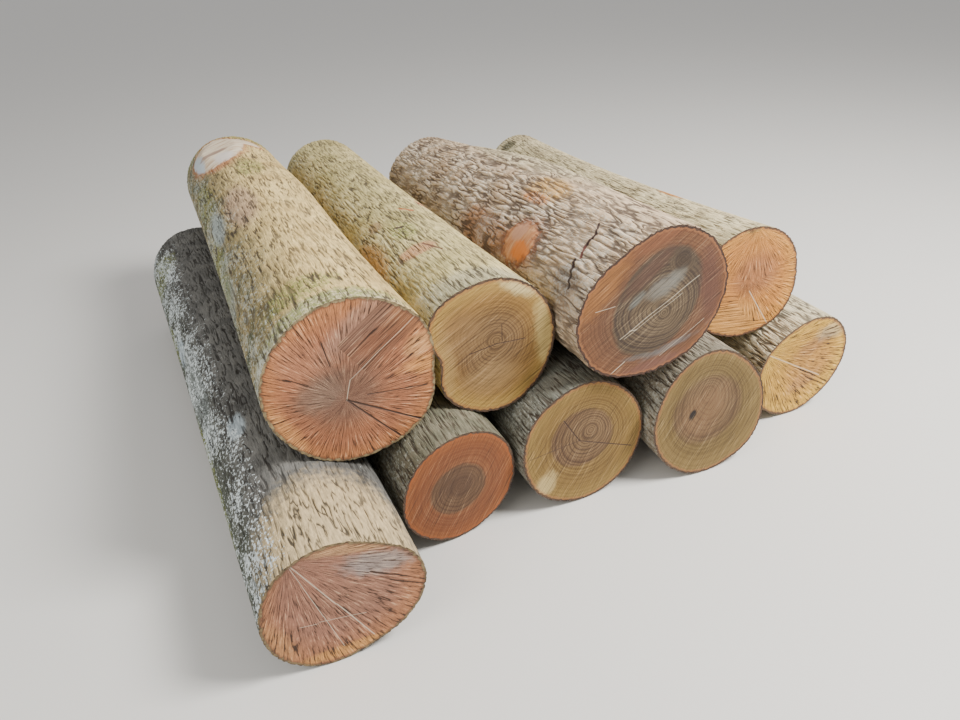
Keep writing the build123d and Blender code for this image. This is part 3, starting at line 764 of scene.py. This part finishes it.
def ringsRound(tree, distance, spacing):
    # thin dark lines, unevenly spaced as in a tree's good and bad years
    count = times(tree, distance, 1 / spacing)
    uneven = addNode(tree, "TexNoise", {"Vector": addNode(tree, "CombineXYZ", {0: count}), "Scale": 0.7})
    count = addNode(tree, "Math", {0: uneven, 1: 2.5, 2: count}, "MULTIPLY_ADD")
    line = addNode(tree, "Math", {0: count, 1: 0.5}, "PINGPONG")
    return addNode(tree, "MapRange", {0: line, 1: 0.0, 2: 0.34, 3: 1.0, 4: 0.0})


def grainMaterial(name, look, log):
    # hardwood end grain off a chainsaw: matt, with torn fibres, rings, dark heartwood and a rim of bark
    material, tree = newMaterial(name)
    under = addNode(tree, "Attribute", attribute_name="underBark").outputs["Fac"]
    place = addNode(tree, "Attribute", attribute_name="logCoord").outputs["Vector"]
    parts = addNode(tree, "SeparateXYZ", {0: place})
    isFront = addNode(tree, "Math", {0: parts.outputs[2], 1: log["length"] / 2}, "LESS_THAN")
    flat = addNode(tree, "VectorMath", {0: place, 1: (1, 1, 0)}, "MULTIPLY")
    # the rings stray up to 11 mm from round
    wobble = addNode(tree, "TexNoise", {"Vector": flat, "Scale": 9.0, "Detail": 2.0})
    fromPith = addNode(tree, "VectorMath", {0: flat, 1: (*look["pith"], 0)}, "DISTANCE")
    wobbled = addNode(tree, "Math", {0: wobble, 1: 0.022, 2: -0.011}, "MULTIPLY_ADD")
    radius = addNode(tree, "Math", {0: fromPith, 1: wobbled}, "ADD")
    whole = addNode(tree, "Math", {0: radius, 1: under}, "ADD")
    whole = addNode(tree, "Math", {0: whole, 1: 0.02}, "MAXIMUM")
    share = addNode(tree, "Math", {0: radius, 1: whole}, "DIVIDE")   # 0 at the pith, 1 at the bark
    outer = addNode(tree, "MapRange", {0: share, 1: 0.7, 2: 0.93})
    colour = layColour(tree, linearColour(look["wood"]), outer, look["sap"])
    heart = spotOn(tree, flat, *look["heart"][:5], ragged=0.12, soft=look["heart"][5])
    colour = layColour(tree, colour, heart, look["heartwood"])
    # a darker line where heartwood ends, unless it fades out softly
    border = addNode(tree, "Math", {0: heart, 1: 0.5}, "PINGPONG")
    border = times(tree, border, 0.5 if look["heart"][5] < 0.3 else 0.0)
    colour = layColour(tree, colour, border, look["heartEdge"])
    # growth rings, drawn farther apart than they grew so that they show; the bark is about 0.2 m out
    ring = ringsRound(tree, share, look["ring"] / 0.2)
    if look["knot"]:
        x, y, reach = look["knot"]
        around = addNode(tree, "VectorMath", {0: flat, 1: (x, y, 0)}, "DISTANCE")
        nearKnot = spotOn(tree, flat, x, y, reach, reach, ragged=0.1, soft=0.3)
        ring = addNode(tree, "Mix", {0: nearKnot, 2: ring, 3: ringsRound(tree, around, look["ring"])})
    fade = addNode(tree, "MapRange", {0: share, 1: 0.25, 2: 0.75, 3: look["rings"], 4: 0.3 * look["rings"]})
    colour = layColour(tree, colour, times(tree, ring, fade), look["ringDark"])
    between = addNode(tree, "Math", {0: 1.0, 1: ring}, "SUBTRACT")
    colour = layColour(tree, colour, times(tree, times(tree, between, fade), 0.22), look["ringPale"])
    for *oval, hexText, strength in look["stains"]:
        mask = spotOn(tree, flat, *oval, ragged=1.1, soft=0.9)
        colour = layColour(tree, colour, times(tree, times(tree, mask, strength), isFront), hexText)
    turn, contrast = look["straight"]
    marks = toothMarks(tree, flat, turn=turn)
    for x, y, force, middleX, middleY, reach in look["fan"]:
        mask = spotOn(tree, flat, middleX, middleY, reach, reach, ragged=0.5, soft=0.15)
        marks = addNode(tree, "Mix", {0: mask, 2: marks, 3: toothMarks(tree, flat, fan=(x, y))})
        contrast = max(contrast, force)
    if look["band"]:
        x, y, turn, halfLength, halfWidth = look["band"]
        spot = addNode(tree, "Mapping", {
            "Vector": flat, "Location": (x, y, 0), "Rotation": (0, 0, math.radians(turn)),
            "Scale": (halfLength, halfWidth, 1)}, vector_type="TEXTURE")
        corner = addNode(tree, "VectorMath", {0: spot}, "ABSOLUTE")
        corner = addNode(tree, "SeparateXYZ", {0: corner})
        reach = addNode(tree, "Math", {0: corner.outputs[0], 1: corner.outputs[1]}, "MAXIMUM")
        mask = addNode(tree, "Math", {0: reach, 1: 1.0}, "LESS_THAN")
        marks = addNode(tree, "Mix", {0: mask, 2: marks, 3: toothMarks(tree, flat, turn=turn, seed=3.0)})
        # the band is darkened, partly its own tone and partly painted shadow
        colour = layColour(tree, colour, times(tree, times(tree, mask, isFront), 0.5), look["bandToneAndShadow"])
    darkest, lightest = 1 - 0.45 * contrast, 1 + 0.42 * contrast
    tone = addNode(tree, "MapRange", {0: marks, 1: 0.34, 2: 0.66, 3: darkest, 4: lightest})
    colour = addNode(tree, "VectorMath", {0: colour, 3: tone}, "SCALE")
    # thin dark lines where a tooth tore the fibres, and pale ones beside them
    torn = addNode(tree, "MapRange", {0: marks, 1: 0.35, 2: 0.43, 3: 0.95 * contrast, 4: 0.0})
    colour = layColour(tree, colour, torn, look["torn"])
    raised = addNode(tree, "MapRange", {0: marks, 1: 0.58, 2: 0.66, 3: 0.0, 4: 0.3 * contrast})
    colour = layColour(tree, colour, raised, look["raised"])
    fibres = addNode(tree, "TexNoise", {"Vector": flat, "Scale": 420.0, "Detail": 2.0})
    speckle = addNode(tree, "MapRange", {0: fibres, 1: 0.35, 2: 0.65, 3: 0.90, 4: 1.10})
    colour = addNode(tree, "VectorMath", {0: colour, 3: speckle}, "SCALE")
    height = addNode(tree, "Math", {0: fibres, 1: 0.25, 2: marks}, "MULTIPLY_ADD")
    for crack in look["cracks"]:
        mask = times(tree, strokeOn(tree, flat, *crack), isFront)
        colour = layColour(tree, colour, mask, look["crack"])
        height = addNode(tree, "Math", {0: mask, 1: -1.2, 2: height}, "MULTIPLY_ADD")
    for scratch in look["scratches"]:
        mask = times(tree, strokeOn(tree, flat, *scratch), isFront)
        colour = layColour(tree, colour, times(tree, mask, 0.65), look["scratch"])
    # cambium and the bark's own thickness
    grit = addNode(tree, "TexNoise", {"Vector": flat, "Scale": 70.0, "Detail": 5.0})
    edge = addNode(tree, "Math", {0: grit, 1: -0.016, 2: 0.008}, "MULTIPLY_ADD")
    edge = addNode(tree, "Math", {0: under, 1: edge}, "ADD")
    rim = look["rimWidth"]
    mask = addNode(tree, "MapRange", {0: edge, 1: rim * 1.2, 2: rim * 2.2, 3: 0.6, 4: 0.0})
    colour = layColour(tree, colour, mask, look["cambium"])
    mask = addNode(tree, "MapRange", {0: edge, 1: rim * 0.85, 2: rim * 1.1, 3: 1.0, 4: 0.0})
    speck = addNode(tree, "MapRange", {0: grit, 1: 0.36, 2: 0.64})
    flecks = layColour(tree, linearColour(look["rim"]), speck, look["rimFleck"])
    colour = addNode(tree, "Mix", {0: mask, 6: colour, 7: flecks}, data_type="RGBA")
    bump = addNode(tree, "Bump", {"Height": height, "Distance": 0.003, "Strength": 0.35 + 0.4 * contrast})
    addNode(tree, "OutputMaterial", {0: addNode(tree, "BsdfPrincipled", {
        "Base Color": colour, "Roughness": 0.78, "IOR": 1.5, "Normal": bump})})
    return material


for name, node in sorted(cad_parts.items()):
    makeStem(name, node)

# the floor, the lights and the camera
studio = {
    "floorColour": "#d8d4cc", "floorSize": 120.0, "room": (0.96, 0.97, 1.0, 1), "roomLight": 0.6,
    # name, place, size and power, and the point they face
    "lights": (("keyLight", (2.6, -2.4, 4.2), 1.6, 560), ("fillLight", (-3.5, -2.0, 3.0), 3.0, 80)),
    "facing": (0, 0, 0.4),
    "cameraPlace": (-0.8982, -2.3572, 1.5892), "yaw": 21.47, "pitch": 32.52, "roll": -3.56, "lens": 26.236,
}
bpy.ops.mesh.primitive_plane_add(size=studio["floorSize"], location=(0, 0, cadBox[0][2]))
floor = bpy.context.object
floor.name = "floor"
floorMaterial = bpy.data.materials.new("paleFloor")
floorMaterial.use_nodes = True
floorSurface = floorMaterial.node_tree.nodes["Principled BSDF"]
floorSurface.inputs["Base Color"].default_value = linearColour(studio["floorColour"])
floor.data.materials.append(floorMaterial)
world = bpy.data.worlds.new("paleRoom")
bpy.context.scene.world = world
world.use_nodes = True
world.node_tree.nodes["Background"].inputs[0].default_value = studio["room"]
world.node_tree.nodes["Background"].inputs[1].default_value = studio["roomLight"]
for name, place, size, power in studio["lights"]:
    bpy.ops.object.light_add(type="AREA", location=place)
    light = bpy.context.object
    light.name = name
    light.data.size = size
    light.data.energy = power
    light.rotation_euler = (Vector(place) - Vector(studio["facing"])).to_track_quat("Z", "Y").to_euler()
print("floor and lights made")

yaw, pitch, roll = (math.radians(studio[key]) for key in ("yaw", "pitch", "roll"))
forward = Vector((math.sin(yaw) * math.cos(pitch), math.cos(yaw) * math.cos(pitch), -math.sin(pitch)))
level = forward.cross((0, 0, 1)).normalized()
lift = level.cross(forward)
side = math.cos(roll) * level + math.sin(roll) * lift
top = -math.sin(roll) * level + math.cos(roll) * lift
bpy.ops.object.camera_add(location=studio["cameraPlace"],
                          rotation=Matrix((side, top, -forward)).transposed().to_euler())
bpy.context.object.data.lens = studio["lens"]
bpy.context.scene.camera = bpy.context.object
